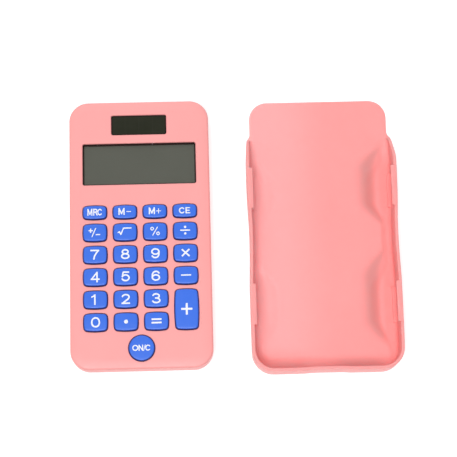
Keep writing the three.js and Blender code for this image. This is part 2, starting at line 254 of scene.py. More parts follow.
# ------------------------------------------------------------------ materials
class Mat:
    def __init__(self, name):
        self.m = bpy.data.materials.new(name)
        self.m.use_nodes = True
        self.t = self.m.node_tree
        self.t.nodes.clear()
        self.out = self.node("ShaderNodeOutputMaterial")
        self.b = self.node("ShaderNodeBsdfPrincipled")
        self.link(self.b.outputs[0], self.out.inputs[0])
        self.coord = self.node("ShaderNodeTexCoord").outputs["Object"]

    def node(self, kind, **props):
        n = self.t.nodes.new(kind)
        for k, v in props.items():
            setattr(n, k, v)
        return n

    def link(self, a, b):
        self.t.links.new(a, b)

    def set(self, **values):
        for k, v in values.items():
            self.b.inputs[k.replace("_", " ")].default_value = v
        return self

    def noise(self, scale, detail=2.0, rough=0.5, stretch=None, dims="3D"):
        n = self.node("ShaderNodeTexNoise", noise_dimensions=dims)
        n.inputs["Scale"].default_value = scale
        n.inputs["Detail"].default_value = detail
        n.inputs["Roughness"].default_value = rough
        if stretch:
            mp = self.node("ShaderNodeMapping")
            mp.inputs["Scale"].default_value = stretch
            self.link(self.coord, mp.inputs[0])
            self.link(mp.outputs[0], n.inputs["Vector"])
        else:
            self.link(self.coord, n.inputs["Vector"])
        return n.outputs[0]

    def ramp(self, fac, stops):
        r = self.node("ShaderNodeValToRGB")
        while len(r.color_ramp.elements) < len(stops):
            r.color_ramp.elements.new(0.5)
        for e, (p, c) in zip(r.color_ramp.elements, stops):
            e.position = p
            e.color = (*c, 1)
        self.link(fac, r.inputs[0])
        return r.outputs[0]

    def to_range(self, fac, lo, hi, a=0.0, b=1.0, smooth=False):
        r = self.node("ShaderNodeMapRange")
        r.inputs["From Min"].default_value, r.inputs["From Max"].default_value = a, b
        r.inputs["To Min"].default_value, r.inputs["To Max"].default_value = lo, hi
        if smooth:
            r.interpolation_type = "SMOOTHSTEP"
        self.link(fac, r.inputs[0])
        return r.outputs[0]

    def math(self, op, a, b=None):
        n = self.node("ShaderNodeMath", operation=op)
        for i, v in enumerate((a, b)):
            if v is None:
                continue
            if isinstance(v, (int, float)):
                n.inputs[i].default_value = v
            else:
                self.link(v, n.inputs[i])
        return n.outputs[0]

    def mix(self, fac, a, b):
        n = self.node("ShaderNodeMix", data_type="RGBA")
        self.link(fac, n.inputs["Factor"])
        for sock, v in ((n.inputs[6], a), (n.inputs[7], b)):
            if isinstance(v, tuple):
                sock.default_value = (*v, 1)
            else:
                self.link(v, sock)
        return n.outputs[2]

    def xyz(self):
        s = self.node("ShaderNodeSeparateXYZ")
        self.link(self.coord, s.inputs[0])
        return s.outputs[0], s.outputs[1], s.outputs[2]

    def bump(self, height, distance, strength):
        n = self.node("ShaderNodeBump")
        n.inputs["Distance"].default_value = distance
        n.inputs["Strength"].default_value = strength
        self.link(height, n.inputs["Height"])
        self.link(n.outputs[0], self.b.inputs["Normal"])
        return self

    def base(self, sock):
        self.link(sock, self.b.inputs["Base Color"])
        return self


def tone(c, k):
    return tuple(min(1.0, x * k) for x in c)


def moulded(name, color, rough, vary=0.02, grain=2600, grain_h=0.00002, grain_s=0.25, **sockets):
    """Injection-moulded plastic: faint flow mottling, a fine spark-eroded grain and uneven gloss."""
    m = Mat(name)
    flow = m.noise(38, 3.0, 0.55, stretch=(1.0, 0.45, 1.0))
    m.base(m.ramp(flow, [(0.3, tone(color, 1 - vary)), (0.7, tone(color, 1 + vary))]))
    m.link(m.to_range(m.noise(420, 2.0), rough - 0.04, rough + 0.04, 0.3, 0.7), m.b.inputs["Roughness"])
    m.bump(m.noise(grain, 2.0, 0.6), grain_h, grain_s)
    return m.set(**sockets)


PINK = (0.93, 0.362, 0.352)
COVER_PINK = (0.955, 0.357, 0.35)
BLUE = (0.039, 0.158, 0.76)
# navy: painted shade on the keys' sides and rims
PAINTED_SHADE_NAVY = (0.012, 0.028, 0.20)

body_mat = moulded("mat_body_pink", PINK, 0.42, Specular_IOR_Level=0.45, Subsurface_Weight=0.0).m
cm = moulded("mat_cover_pink", COVER_PINK, 0.46, Specular_IOR_Level=0.4, Subsurface_Weight=0.45, Subsurface_Radius=(1.0, 0.35, 0.33), Subsurface_Scale=0.0035)
# colour painted into the cover's floor by place, for light and shade: painted shade beside the right-hand lips and at
# the foot of the end wall, a stronger pink past the lips as painted shade, and painted light on the left. They add to
# the shading of the relief itself.
painted_shade = cm.node("ShaderNodeAttribute", attribute_name="painted_shade").outputs["Fac"]
deep = cm.node("ShaderNodeAttribute", attribute_name="deep").outputs["Fac"]
painted_light = cm.node("ShaderNodeAttribute", attribute_name="painted_light").outputs["Fac"]
shade = cm.mix(painted_shade, cm.mix(painted_light, cm.b.inputs["Base Color"].links[0].from_socket, (0.955, 0.42, 0.42)), (0.66, 0.277, 0.267))
cm.base(cm.mix(deep, shade, (0.93, 0.30, 0.29)))
cover_mat = cm.m
kb = moulded("mat_key_blue", BLUE, 0.32, 0.03, 3200, 0.000012, 0.2, Specular_IOR_Level=0.4)
# painted shade: the top is light blue, and the sides and the rounded rim, which turn away from the top, are painted
# navy
geo = kb.node("ShaderNodeNewGeometry")
sep = kb.node("ShaderNodeSeparateXYZ")
kb.link(geo.outputs["Normal"], sep.inputs[0])
painted_side_shade = kb.to_range(sep.outputs[2], 0.0, 1.0, 0.50, 0.93, smooth=True)
kb.base(kb.mix(painted_side_shade, PAINTED_SHADE_NAVY, kb.b.inputs["Base Color"].links[0].from_socket))
key_mat_ = kb.m
white_mat = moulded("mat_legend_white", (0.84, 0.86, 0.90), 0.45, 0.015, 5200, 0.000006, 0.2).m

lens = Mat("mat_lens")
lens.base(lens.ramp(lens.noise(90, 2.0), [(0.3, (0.020, 0.022, 0.018)), (0.7, (0.026, 0.028, 0.024))]))
lens.link(lens.to_range(lens.noise(900, 2.0), 0.05, 0.09), lens.b.inputs["Roughness"])
lens.set(Alpha=0.10, IOR=1.49, Specular_IOR_Level=0.5)
lens_mat = lens.m

lcd = Mat("mat_lcd")
lx, ly, lz = lcd.xyz()
edge = lcd.math("MAXIMUM", lcd.math("SUBTRACT", lcd.math("ABSOLUTE", lx), 0.02442),
                lcd.math("SUBTRACT", lcd.math("ABSOLUTE", lcd.math("SUBTRACT", ly, 0.0314)), 0.00872))
# a dark printed frame round the display, which also stands as painted shade in the window's recess
frame_and_recess_shade_mask = lcd.to_range(edge, 0.0, 1.0, -0.00005, 0.00012, smooth=True)
glow = lcd.ramp(lcd.noise(55, 2.0), [(0.3, (0.134, 0.140, 0.113)), (0.7, (0.144, 0.149, 0.122))])
lcd.base(lcd.mix(frame_and_recess_shade_mask, glow, (0.026, 0.009, 0.007)))
lcd.link(lcd.to_range(lcd.noise(1800, 2.0), 0.30, 0.40), lcd.b.inputs["Roughness"])
lcd.bump(lcd.noise(4200, 1.0), 0.000005, 0.3)
lcd.set(Specular_IOR_Level=0.25)
lcd_mat = lcd.m

sol = Mat("mat_solar")
sx, sy, sz = sol.xyz()
cellx = sol.math("ABSOLUTE", sol.math("SUBTRACT", sol.math("FRACT", sol.math("ADD", sol.math("DIVIDE", sx, 0.00612), 0.5)), 0.5))
# thin laser cut between the strips, and a printed dark edge
cut = sol.to_range(cellx, 1.0, 0.0, 0.0, 0.022, smooth=True)
rim = sol.math("MAXIMUM", sol.math("SUBTRACT", sol.math("ABSOLUTE", sx), 0.0117),
               sol.math("SUBTRACT", sol.math("ABSOLUTE", sol.math("SUBTRACT", sy, 0.04925)), 0.0040))
rim_mask = sol.to_range(rim, 0.0, 1.0, -0.00005, 0.00015, smooth=True)
film = sol.ramp(sol.noise(120, 2.0), [(0.3, (0.0165, 0.0185, 0.0095)), (0.7, (0.021, 0.0225, 0.013))])
film = sol.mix(cut, film, (0.027, 0.027, 0.019))
sol.base(sol.mix(rim_mask, film, (0.010, 0.004, 0.003)))
sol.link(sol.to_range(sol.noise(700, 2.0), 0.12, 0.2), sol.b.inputs["Roughness"])
sol.bump(sol.noise(3000, 1.0), 0.000004, 0.2)
sol.set(Specular_IOR_Level=0.3)
solar_mat = sol.m


def metal(name, color, rough, stretch):
    m = Mat(name)
    m.base(m.ramp(m.noise(900, 3.0, 0.6, stretch=stretch), [(0.3, tone(color, 0.86)), (0.7, tone(color, 1.08))]))
    m.link(m.to_range(m.noise(1600, 2.0, stretch=stretch), rough - 0.07, rough + 0.1), m.b.inputs["Roughness"])
    m.bump(m.noise(2600, 2.0, stretch=stretch), 0.000008, 0.3)
    return m.set(Metallic=1.0).m


screw_mat = metal("mat_screw", (0.55, 0.56, 0.58), 0.3, (1.0, 1.0, 4.0))
cell_mat = metal("mat_button_cell", (0.62, 0.63, 0.64), 0.24, (4.0, 1.0, 1.0))
contact_mat = metal("mat_contact", (0.62, 0.62, 0.6), 0.26, (1.0, 4.0, 1.0))


def plain(name, color, rough, scale, vary=0.15, bump=0.00002, **sockets):
    m = Mat(name)
    m.base(m.ramp(m.noise(scale, 3.0, 0.6), [(0.3, tone(color, 1 - vary)), (0.7, tone(color, 1 + vary))]))
    m.link(m.to_range(m.noise(scale * 3, 2.0), rough - 0.05, rough + 0.05), m.b.inputs["Roughness"])
    m.bump(m.noise(scale * 6, 2.0), bump, 0.35)
    return m.set(**sockets).m


board_mat = plain("mat_board", (0.03, 0.19, 0.05), 0.42, 380, 0.2, 0.00002)
inner = {
    "lcd_ribbon": plain("mat_ribbon", (0.45, 0.26, 0.08), 0.4, 600, 0.12, 0.000004),
    "lcd_foam_pad": plain("mat_foam", (0.03, 0.03, 0.03), 0.95, 2200, 0.4, 0.0001),
    "main_pcb": board_mat,
    "chip_blob": plain("mat_epoxy", (0.012, 0.012, 0.012), 0.35, 500, 0.3, 0.00002),
    "resistor": plain("mat_resistor", (0.014, 0.014, 0.015), 0.4, 900, 0.3, 0.00001),
    "capacitor": plain("mat_capacitor", (0.016, 0.03, 0.07), 0.3, 700, 0.15, 0.00001),
    "solar_wire_positive": plain("mat_wire_red", (0.43, 0.02, 0.02), 0.45, 900, 0.1, 0.00001),
    "solar_wire_negative": plain("mat_wire_black", (0.015, 0.015, 0.015), 0.45, 900, 0.2, 0.00001),
    "battery_contact_positive": contact_mat,
    "battery_contact_negative": contact_mat,
}
for i in range(1, 5):
    inner[f"pcb_screw_{i}"] = screw_mat
for node, mat in inner.items():
    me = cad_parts[node].data
    me.materials.clear()
    me.materials.append(mat)

# ----------------------------------------------------------------------- keys
KEYS = {}
for name, c, r in (
    ("key_mrc", 0, 0), ("key_m_minus", 1, 0), ("key_m_plus", 2, 0), ("key_ce", 3, 0),
    ("key_sign", 0, 1), ("key_sqrt", 1, 1), ("key_percent", 2, 1), ("key_divide", 3, 1),
    ("key_7", 0, 2), ("key_8", 1, 2), ("key_9", 2, 2), ("key_multiply", 3, 2),
    ("key_4", 0, 3), ("key_5", 1, 3), ("key_6", 2, 3), ("key_minus", 3, 3),
    ("key_1", 0, 4), ("key_2", 1, 4), ("key_3", 2, 4),
    ("key_0", 0, 5), ("key_point", 1, 5), ("key_equals", 2, 5),
):
    KEYS[name] = (COL[c], ROW_Y[r], KEY_W, KEY_H_TOP if r == 0 else KEY_H)
KEYS["key_plus"] = (COL[3], (ROW_Y[4] + ROW_Y[5]) / 2, KEY_W, ROW_Y[4] - ROW_Y[5] + KEY_H)
KEYS["key_on_c"] = (0.0, ON_Y, 2 * ON_R, 2 * ON_R)
for name, (cx, cy, w, h) in list(KEYS.items()):     # the CAD says where each key is
    lo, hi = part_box(name)
    mid = (lo + hi) / 2 * 1000
    if abs(mid.x - cx) > 0.05 or abs(mid.y - cy) > 0.05:
        raise RuntimeError(f"{name} isn't where this script expects it")


def key_outline(name, grow):
    cx, cy, w, h = KEYS[name]
    if name == "key_on_c":
        return circle(ON_R + grow, 64, cx, cy)
    return bowed_rect(w, h, grow, cx, cy)


def crown(name, x, y, bow=0.13):
    """Height of a key's crowned top."""
    cx, cy, w, h = KEYS[name]
    return KEY_TOP - bow * np.clip(((x - cx) / (w / 2)) ** 2 + ((y - cy) / (h / 2)) ** 2, 0, 2.2) * 0.6


KEY_EDGE = 0.7
SHOULDER = KEY_TOP - 0.13 - KEY_EDGE


def key_cap(name):
    cx, cy, w, h = KEYS[name]
    loops = []
    for g, z in ((FLANGE - 0.1, FLANGE_Z[0]), (FLANGE, FLANGE_Z[0] + 0.1), (FLANGE, FLANGE_Z[1] - 0.1),
                 (FLANGE - 0.1, FLANGE_Z[1]), (0.12, FLANGE_Z[1]), (0.02, FLANGE_Z[1] + 0.12)):
        loops.append(loop3(key_outline(name, g), z))
    loops.append(loop3(key_outline(name, 0.0), SHOULDER))
    for i in range(1, 8):
        a = rad(90 * i / 7)
        p = loop3(key_outline(name, -KEY_EDGE * (1 - math.cos(a))), 0)
        top = crown(name, p[:, 0], p[:, 1])
        p[:, 2] = SHOULDER + (top - SHOULDER) * math.sin(a)
        loops.append(p)
    last = loops[-1]
    for s in (0.9, 0.78, 0.64, 0.5, 0.36, 0.22, 0.1):
        p = last.copy()
        p[:, 0] = cx + (last[:, 0] - cx) * s
        p[:, 1] = cy + (last[:, 1] - cy) * s
        p[:, 2] = crown(name, p[:, 0], p[:, 1])
        loops.append(p)
    verts, faces = loft(loops, cap0=True, cap1=False)
    n, at = len(last), len(verts) - len(last)
    verts = np.concatenate([verts, [[cx, cy, KEY_TOP]]])
    faces += [(at + i, at + (i + 1) % n, len(verts) - 1) for i in range(n)]
    return verts, faces


for name in KEYS:
    finish_piece(name + "_moulding", key_cap(name), key_mat_, name + "_cap", (name,), angle=55, weighted=False)

# ---------------------------------------------------- silicone sheet and domes
# the sheet lies on the board; each key has its own dome, on a mesh of its own
silicone = plain("mat_silicone", (0.68, 0.68, 0.65), 0.6, 300, 0.04, 0.00001)
SHEET_Z = (6.05, 6.65)
sheet = boolean(
    prism([(-26.5, 13.6), (-26.5, -48.5), (-20, -48.5), (-20, -56.9), (20, -56.9), (20, -48.5), (26.5, -48.5), (26.5, 13.6)], *SHEET_Z),
    [rod(x, y, SHEET_Z[0] - 1, SHEET_Z[1] + 1, 1.7, 40) for x, y in ((-13.2, -4.65), (13.2, -4.65), (-13.2, -47), (13.2, -47))], "DIFFERENCE")
finish_piece("silicone_sheet", sheet, silicone, "calculator_body", ("key_mat",), bevel=0.1)
for name, (cx, cy, w, h) in KEYS.items():
    dome = loft([loop3(circle(r, 40, cx, cy), z) for r, z in (
        (2.36, 6.652), (2.42, 6.68), (2.38, 6.74), (2.2, 6.92), (1.86, 7.3), (1.72, 7.5), (1.62, 7.64), (1.52, 7.69), (1.4, 7.7),
        (1.0, 7.7), (0.92, 7.68), (0.86, 7.62), (0.4, 7.6), (0.12, 7.6))])
    ob = finish_piece(name + "_dome", dome, silicone, "calculator_body", angle=60, weighted=False)
    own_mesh(ob)


# -------------------------------------------------------------------- legends
# A legend is the area where a distance field is negative: strokes with square
# or round ends, joined. It is cut out of a fine grid and laid on the key's top.
def bar(x0, y0, x1, y1, w):
    def f(X, Y):
        mx, my = (x0 + x1) / 2, (y0 + y1) / 2
        L = math.hypot(x1 - x0, y1 - y0)
        ux, uy = (x1 - x0) / L, (y1 - y0) / L
        u = np.abs((X - mx) * ux + (Y - my) * uy) - L / 2
        v = np.abs(-(X - mx) * uy + (Y - my) * ux) - w / 2
        return np.maximum(u, v)
    return f


def line(pts, w):
    def f(X, Y):
        d = np.full(X.shape, 1e9)
        for (x0, y0), (x1, y1) in zip(pts[:-1], pts[1:]):
            dx, dy = x1 - x0, y1 - y0
            t = np.clip(((X - x0) * dx + (Y - y0) * dy) / (dx * dx + dy * dy), 0, 1)
            d = np.minimum(d, np.hypot(X - x0 - t * dx, Y - y0 - t * dy))
        return d - w / 2
    return f


def arc(cx, cy, rx, ry, a0, a1, w, power=2.0):
    pts = []
    for i in range(25):
        a = rad(a0 + (a1 - a0) * i / 24)
        c, s = math.cos(a), math.sin(a)
        pts.append((cx + rx * math.copysign(abs(c) ** (2 / power), c), cy + ry * math.copysign(abs(s) ** (2 / power), s)))
    return line(pts, w)


def dot(cx, cy, r):
    return lambda X, Y: np.hypot(X - cx, Y - cy) - r


def moved(f, dx, dy, s=1.0, sx=1.0):
    return lambda X, Y: f((X - dx) / (s * sx), (Y - dy) / s) * s


S = 0.68   # stroke of the figures
six = [arc(0.02, -0.80, 1.60, 1.20, 0, 360, S), line([(-1.58, -0.7), (-1.6, -0.1), (-1.5, 0.75), (-1.15, 1.45), (-0.55, 1.84), (0.1, 1.95), (0.75, 1.85), (1.25, 1.5), (1.45, 1.2)], S)]
GLYPH = {
    "0": [arc(0, 0, 1.70, 1.98, 0, 360, S, 2.2)],
    "1": [bar(0.35, -2.35, 0.35, 2.35, S), line([(0.2, 1.95), (-0.25, 1.55), (-1.0, 1.2)], S * 0.9)],
    "2": [arc(0, 0.88, 1.52, 1.05, 168, -22, S), line([(1.4, 0.48), (0.95, -0.15), (-0.35, -1.05), (-1.35, -1.85)], S), bar(-1.95, -1.93, 1.9, -1.93, S)],
    "3": [arc(-0.02, 1.0, 1.42, 0.96, 160, -78, S), arc(0.0, -0.93, 1.62, 1.04, 84, -160, S), bar(-0.55, 0.08, 0.3, 0.08, S * 0.85)],
    "4": [bar(0.82, -2.35, 0.82, 2.35, S), line([(0.7, 1.95), (-1.65, -0.95)], S * 0.9), bar(-2.05, -1.0, 2.0, -1.0, S * 0.95)],
    "5": [bar(-1.25, 1.93, 1.65, 1.93, S), line([(-1.05, 1.9), (-1.4, 0.05)], S * 0.9), arc(0.0, -0.62, 1.62, 1.28, 155, -158, S)],
    "6": six,
    "7": [bar(-2.0, 1.93, 2.0, 1.93, S), line([(1.55, 1.75), (0.65, 0.7), (-0.1, -0.6), (-0.45, -1.95)], S)],
    "8": [arc(0, 1.02, 1.30, 0.93, 0, 360, S), arc(0, -0.94, 1.62, 1.02, 0, 360, S)],
    "9": [moved(f, 0, 0) for f in [lambda X, Y, g=g: g(-X, -Y) for g in six]],
    # letters on a body 2 wide and 2.8 high
    "M": [bar(-1.05, -1.4, -1.05, 1.4, 0.52), bar(1.05, -1.4, 1.05, 1.4, 0.52), line([(-0.95, 1.15), (0, -0.95), (0.95, 1.15)], 0.49)],
    "R": [bar(-0.8, -1.4, -0.8, 1.4, 0.52), line([(-0.8, 1.12), (0.3, 1.12), (0.78, 0.85), (0.82, 0.38), (0.55, 0.08), (-0.7, 0.0)], 0.47), line([(0.15, 0.0), (0.9, -1.15)], 0.50)],
    "C": [arc(0, 0, 1.05, 1.12, 42, 318, 0.50)],
    "E": [bar(-0.75, -1.4, -0.75, 1.4, 0.52), bar(-0.9, 1.12, 0.95, 1.12, 0.47), bar(-0.9, 0.0, 0.8, 0.0, 0.45), bar(-0.9, -1.12, 1.0, -1.12, 0.47)],
    "O": [arc(0, 0, 1.12, 1.12, 0, 360, 0.50)],
    "N": [bar(-0.85, -1.4, -0.85, 1.4, 0.50), bar(0.85, -1.4, 0.85, 1.4, 0.50), line([(-0.75, 1.05), (0.75, -1.05)], 0.50)],
    "/": [line([(0.42, 1.25), (-0.42, -1.25)], 0.35)],
}


def word(letters):
    """letters: (glyph, x, y, size, width)"""
    return [moved(f, x, y, s, sx) for g, x, y, s, sx in letters for f in GLYPH[g]]


LEGENDS = {f"key_{d}": word([(str(d), {7: -0.1, 1: -0.55}.get(d, 0.0), 0.0, 0.98, 0.98)]) for d in range(10)}
LEGENDS.update({
    "key_mrc": word([("M", -2.1, 0.05, 1.12, 0.74), ("R", 0.28, 0.05, 1.12, 0.78), ("C", 2.25, 0.05, 1.1, 0.74)]),
    "key_m_minus": word([("M", -1.42, 0.1, 1.1, 0.95)]) + [bar(0.75, 0.0, 2.75, 0.0, 0.38)],
    "key_m_plus": word([("M", -1.28, 0.1, 1.1, 0.95)]) + [bar(0.55, 0.0, 2.75, 0.0, 0.32), bar(1.65, -1.1, 1.65, 1.1, 0.36)],
    "key_ce": word([("C", -1.25, 0, 1.02, 1.0), ("E", 1.35, 0, 1.02, 1.0)]),
    "key_sign": [bar(-2.8, 0.85, -0.9, 0.85, 0.46), bar(-1.85, -0.1, -1.85, 1.8, 0.46), line([(0.35, 1.85), (-1.25, -1.85)], 0.42), bar(0.35, -0.95, 2.3, -0.95, 0.48)],
    "key_sqrt": [line([(-3.0, -0.25), (-2.45, 0.12), (-1.85, -1.1)], 0.52), line([(-1.85, -1.15), (-0.6, 1.7)], 0.5), bar(-0.7, 1.7, 2.85, 1.7, 0.52)],
    "key_percent": [arc(-1.28, 1.15, 0.58, 0.62, 0, 360, 0.42), arc(1.28, -1.0, 0.58, 0.62, 0, 360, 0.42), line([(1.05, 1.8), (-1.05, -1.75)], 0.40)],
    "key_divide": [bar(-2.15, 0.15, 2.15, 0.15, 0.58), dot(0, 1.6, 0.52), dot(0, -1.3, 0.52)],
    "key_multiply": [bar(-1.65, -1.55, 1.65, 1.55, 0.70), bar(-1.65, 1.55, 1.65, -1.55, 0.70)],
    "key_minus": [bar(-2.2, 0.0, 2.2, 0.0, 0.58)],
    "key_plus": [bar(-2.42, 0.0, 2.42, 0.0, 0.88), bar(0, -2.55, 0, 2.55, 0.88)],
    "key_point": [dot(0, 0, 0.86)],
    "key_equals": [bar(-2.15, 0.75, 2.15, 0.75, 0.74), bar(-2.15, -0.75, 2.15, -0.75, 0.74)],
    "key_on_c": word([("O", -2.75, 0, 0.96, 1.0), ("N", -0.35, 0, 0.96, 0.95), ("/", 1.22, 0, 0.96, 0.9), ("C", 2.72, 0, 0.96, 0.95)]),
})


def legend_mesh(name, shapes, cell=0.09, up=0.035, down=0.06):
    cx, cy, w, h = KEYS[name]
    nx, ny = int(w / 2 / cell), int(min(h, 10.0) / 2 / cell)
    xs, ys = np.arange(-nx, nx + 1) * cell, np.arange(-ny, ny + 1) * cell
    X, Y = np.meshgrid(xs, ys, indexing="ij")
    D = np.minimum.reduce([f(X, Y) for f in shapes])
    D[np.abs(D) < 1e-4] = -1e-4
    verts, index = [], {}

    def vert(key, x, y):
        if key not in index:
            index[key] = len(verts)
            verts.append((x, y))
        return index[key]

    polys = []
    for i in range(len(xs) - 1):
        for j in range(len(ys) - 1):
            c = [(i, j), (i + 1, j), (i + 1, j + 1), (i, j + 1)]
            d = [D[p] for p in c]
            if min(d) > 0:
                continue
            poly = []
            for k in range(4):
                a, b = c[k], c[(k + 1) % 4]
                da, db = d[k], d[(k + 1) % 4]
                if da <= 0:
                    poly.append(vert(a, xs[a[0]], ys[a[1]]))
                if (da <= 0) != (db <= 0):
                    t = min(max(da / (da - db), 0.12), 0.88)
                    lo_, hi_ = (a, b) if a < b else (b, a)
                    poly.append(vert((lo_, hi_), xs[a[0]] + t * (xs[b[0]] - xs[a[0]]), ys[a[1]] + t * (ys[b[1]] - ys[a[1]])))
            if len(poly) >= 3:
                polys.append(poly)
    v = np.array(verts)
    x, y = v[:, 0] + cx, v[:, 1] + cy
    z = crown(name, x, y)
    n = len(v)
    edges = {}
    for p in polys:
        for a, b in zip(p, p[1:] + p[:1]):
            edges[(a, b)] = edges.get((a, b), 0) + 1
    faces = [tuple(p) for p in polys] + [tuple(i + n for i in reversed(p)) for p in polys]
    for a, b in edges:
        if (b, a) not in edges:
            faces.append((b, a, a + n, b + n))
    return np.concatenate([np.c_[x, y, z + up], np.c_[x, y, z - down]]), faces


for name, shapes in LEGENDS.items():
    finish_piece(name + "_legend", legend_mesh(name, shapes), white_mat, name + "_cap", angle=50, weighted=False)


# -------------------------------------------------------------- front housing
def rr(inset, seg=16):
    return round_rect(BODY_W - 2 * inset, BODY_L - 2 * inset, BODY_R - inset, seg)


EDGE, CROWN_DROP, CROWN_IN = 1.0, 0.3, 5.0
a_end = rad(81.5)
edge_in = EDGE * (1 - math.cos(a_end))
edge_z = 10.0 - CROWN_DROP
arc_z = edge_z - EDGE * math.sin(a_end)
profile = [(0.14, PARTING + PARTING_GAP), (0.04, PARTING + PARTING_GAP + 0.05), (0.0, PARTING + PARTING_GAP + 0.16), (0.0, 6.4), (0.0, arc_z)]
profile += [(EDGE * (1 - math.cos(a_end * i / 9)), arc_z + EDGE * math.sin(a_end * i / 9)) for i in range(1, 10)]
for i in range(1, 11):
    d = edge_in + (CROWN_IN - edge_in) * i / 10
    profile.append((d, 10.0 - CROWN_DROP * ((CROWN_IN - d) / (CROWN_IN - edge_in)) ** 2))
front = loft([loop3(rr(d), z) for d, z in profile])


def flared(outline, z0, z_rim, r, z_top=10.0, steps=5, end=68):
    """A cutter for a hole with a rounded rim: outline(grow) gives its rings."""
    loops = [loop3(outline(0.0), z0), loop3(outline(0.0), z_rim - r)]
    for i in range(1, steps + 1):
        a = rad(end * i / steps)
        loops.append(loop3(outline(r * (1 - math.cos(a))), z_rim - r + r * math.sin(a)))
    a = rad(end)
    g, z = r * (1 - math.cos(a)), z_rim - r + r * math.sin(a)
    loops.append(loop3(outline(g + (z_top + 0.4 - z) / math.tan(rad(90 - end)) * 0.9), z_top + 0.4))
    return loft(loops)


front = boolean(front, [prism(rr(0.75), PARTING - 1, PARTING + JOINT_LAP + 0.1)], "DIFFERENCE")
front = boolean(front, [prism(rr(WALL), PARTING - 1, FRONT_UNDER)], "DIFFERENCE")
holes = [flared(lambda g, n=n: key_outline(n, KEY_GAP + g), FRONT_UNDER - 1, 10.012, 0.2) for n in KEYS]
for (w, h), y in ((LCD_WINDOW, LCD_Y), (SOLAR_WINDOW, SOLAR_Y)):
    holes.append(flared(lambda g, w=w, h=h, y=y: round_rect(w + 2 * g, h + 2 * g, 0.8 + g, 8, 0, y), FRONT_UNDER - 1, 10.02, 0.5))
front = boolean(front, holes, "DIFFERENCE")
front = boolean(front, [prism(round_rect(w + 2 * dw, h + 2 * dw, 0.8, 4, 0, y), FRONT_UNDER - 1, LIP_UNDER)
                        for (w, h), y, dw in ((LCD_WINDOW, LCD_Y, 1.4), (SOLAR_WINDOW, SOLAR_Y, 1.05))], "DIFFERENCE")
front = boolean(front, [rod(x, y, PARTING - 0.25, FRONT_UNDER + 0.3, 2.3) for x, y in CASE_SCREWS]
                + [rod(x, y, 6.05, FRONT_UNDER + 0.3, 1.3, 32) for x, y in PCB_SCREWS]
                + [block(-20, 20, 42.6, 43.4, 6.5, FRONT_UNDER + 0.2)], "UNION")
front = boolean(front, [rod(x, y, PARTING - 1, 8.0, 0.95, 24) for x, y in CASE_SCREWS]
                + [rod(x, y, 5.05, 8.25, 0.7, 20) for x, y in PCB_SCREWS], "DIFFERENCE")
finish_piece("front_shell", front, body_mat, "calculator_body", ("front_housing",), angle=32)

# --------------------------------------------------------------- rear housing
REAR_EDGE = 1.1
rear_profile = [(REAR_EDGE * (1 - math.sin(rad(90 * i / 9))), REAR_EDGE * (1 - math.cos(rad(90 * i / 9)))) for i in range(10)]
rear_profile += [(0.0, 2.6), (0.0, PARTING - 0.12), (0.04, PARTING - 0.04), (0.12, PARTING)]
rear = loft([loop3(rr(d), z) for d, z in rear_profile])
rear = boolean(rear, [prism(rr(WALL), REAR_FLOOR, PARTING + 1)], "DIFFERENCE")
lap = boolean(prism(rr(0.8), PARTING - 0.6, PARTING + JOINT_LAP), [prism(rr(WALL), PARTING - 2, PARTING + 2)], "DIFFERENCE")
rear = boolean(rear, [lap], "UNION")
x0, x1, y0, y1 = DOOR
rear = boolean(rear, [rod(x, y, REAR_FLOOR - 0.3, PARTING - 0.3, 2.5) for x, y in CASE_SCREWS]
               + [block(x0 - 0.8, x1 + 0.8, y0 - 0.8, y1 + 0.8, REAR_FLOOR - 0.3, 5.25)], "UNION")
rear = boolean(rear, [block(-22, x0 - 0.5, y0 - 0.8, y0, REAR_FLOOR - 0.3, 5.25)], "UNION")


def sunk(outline, z_top, r=0.22):
    """A cutter for a recess in the rear face (z = 0) with a rounded rim."""
    loops = [loop3(outline(0.5), -0.32)]
    for i in range(6):
        a = rad(68 * (1 - i / 5))
        loops.append(loop3(outline(r * (1 - math.cos(a))), r - r * math.sin(a) - 0.016))
    loops.append(loop3(outline(0.0), z_top))
    return loft(loops)


rear = boolean(rear, [sunk(lambda g, x=x, y=y: circle(2.1 + g, 48, x, y), 1.9) for x, y in CASE_SCREWS]
               + [sunk(lambda g: round_rect(x1 - x0 + 2 * g, y1 - y0 + 2 * g, 0.35 + g, 5, (x0 + x1) / 2, (y0 + y1) / 2), 4.85)], "DIFFERENCE")
rear = boolean(rear, [rod(x, y, 1, PARTING + 1, 1.2, 32) for x, y in CASE_SCREWS], "DIFFERENCE")
well = boolean(rod(*CELL, 2.6, 5.0, 6.9, 64), [rod(*CELL, 2, 5.2, 6.1, 64)], "DIFFERENCE")
well = boolean(well, [block(0, 30, 20, 33, 0, 6)], "DIFFERENCE")
well = boolean(well, [block(16.3, 30, 20, 39, 0, 6)], "DIFFERENCE")
well = boolean(well, [block(x0 - 0.5, x1 + 0.5, y0 - 0.5, y1 + 0.5, 0, 5)], "INTERSECT")
rear = boolean(rear, [well, rod(*DOOR_SCREW, 2.5, 5.0, 2.4)], "UNION")
rear = boolean(rear, [rod(*DOOR_SCREW, 2, 4.7, 1.25, 24),
                      block(4.6, 9.4, y1 - 0.2, y1 + 1.2, REAR_FLOOR, 3.2), block(14.6, 19.4, y1 - 0.2, y1 + 1.2, REAR_FLOOR, 3.2),
                      block(6.3, 9.5, y0 - 1.2, y0 + 0.2, 4.5, 4.85), block(17.55, 20.8, y0 - 1.2, y0 + 0.2, 4.5, 4.85)], "DIFFERENCE")
finish_piece("rear_shell", rear, body_mat, "calculator_body", ("rear_housing",), angle=32)

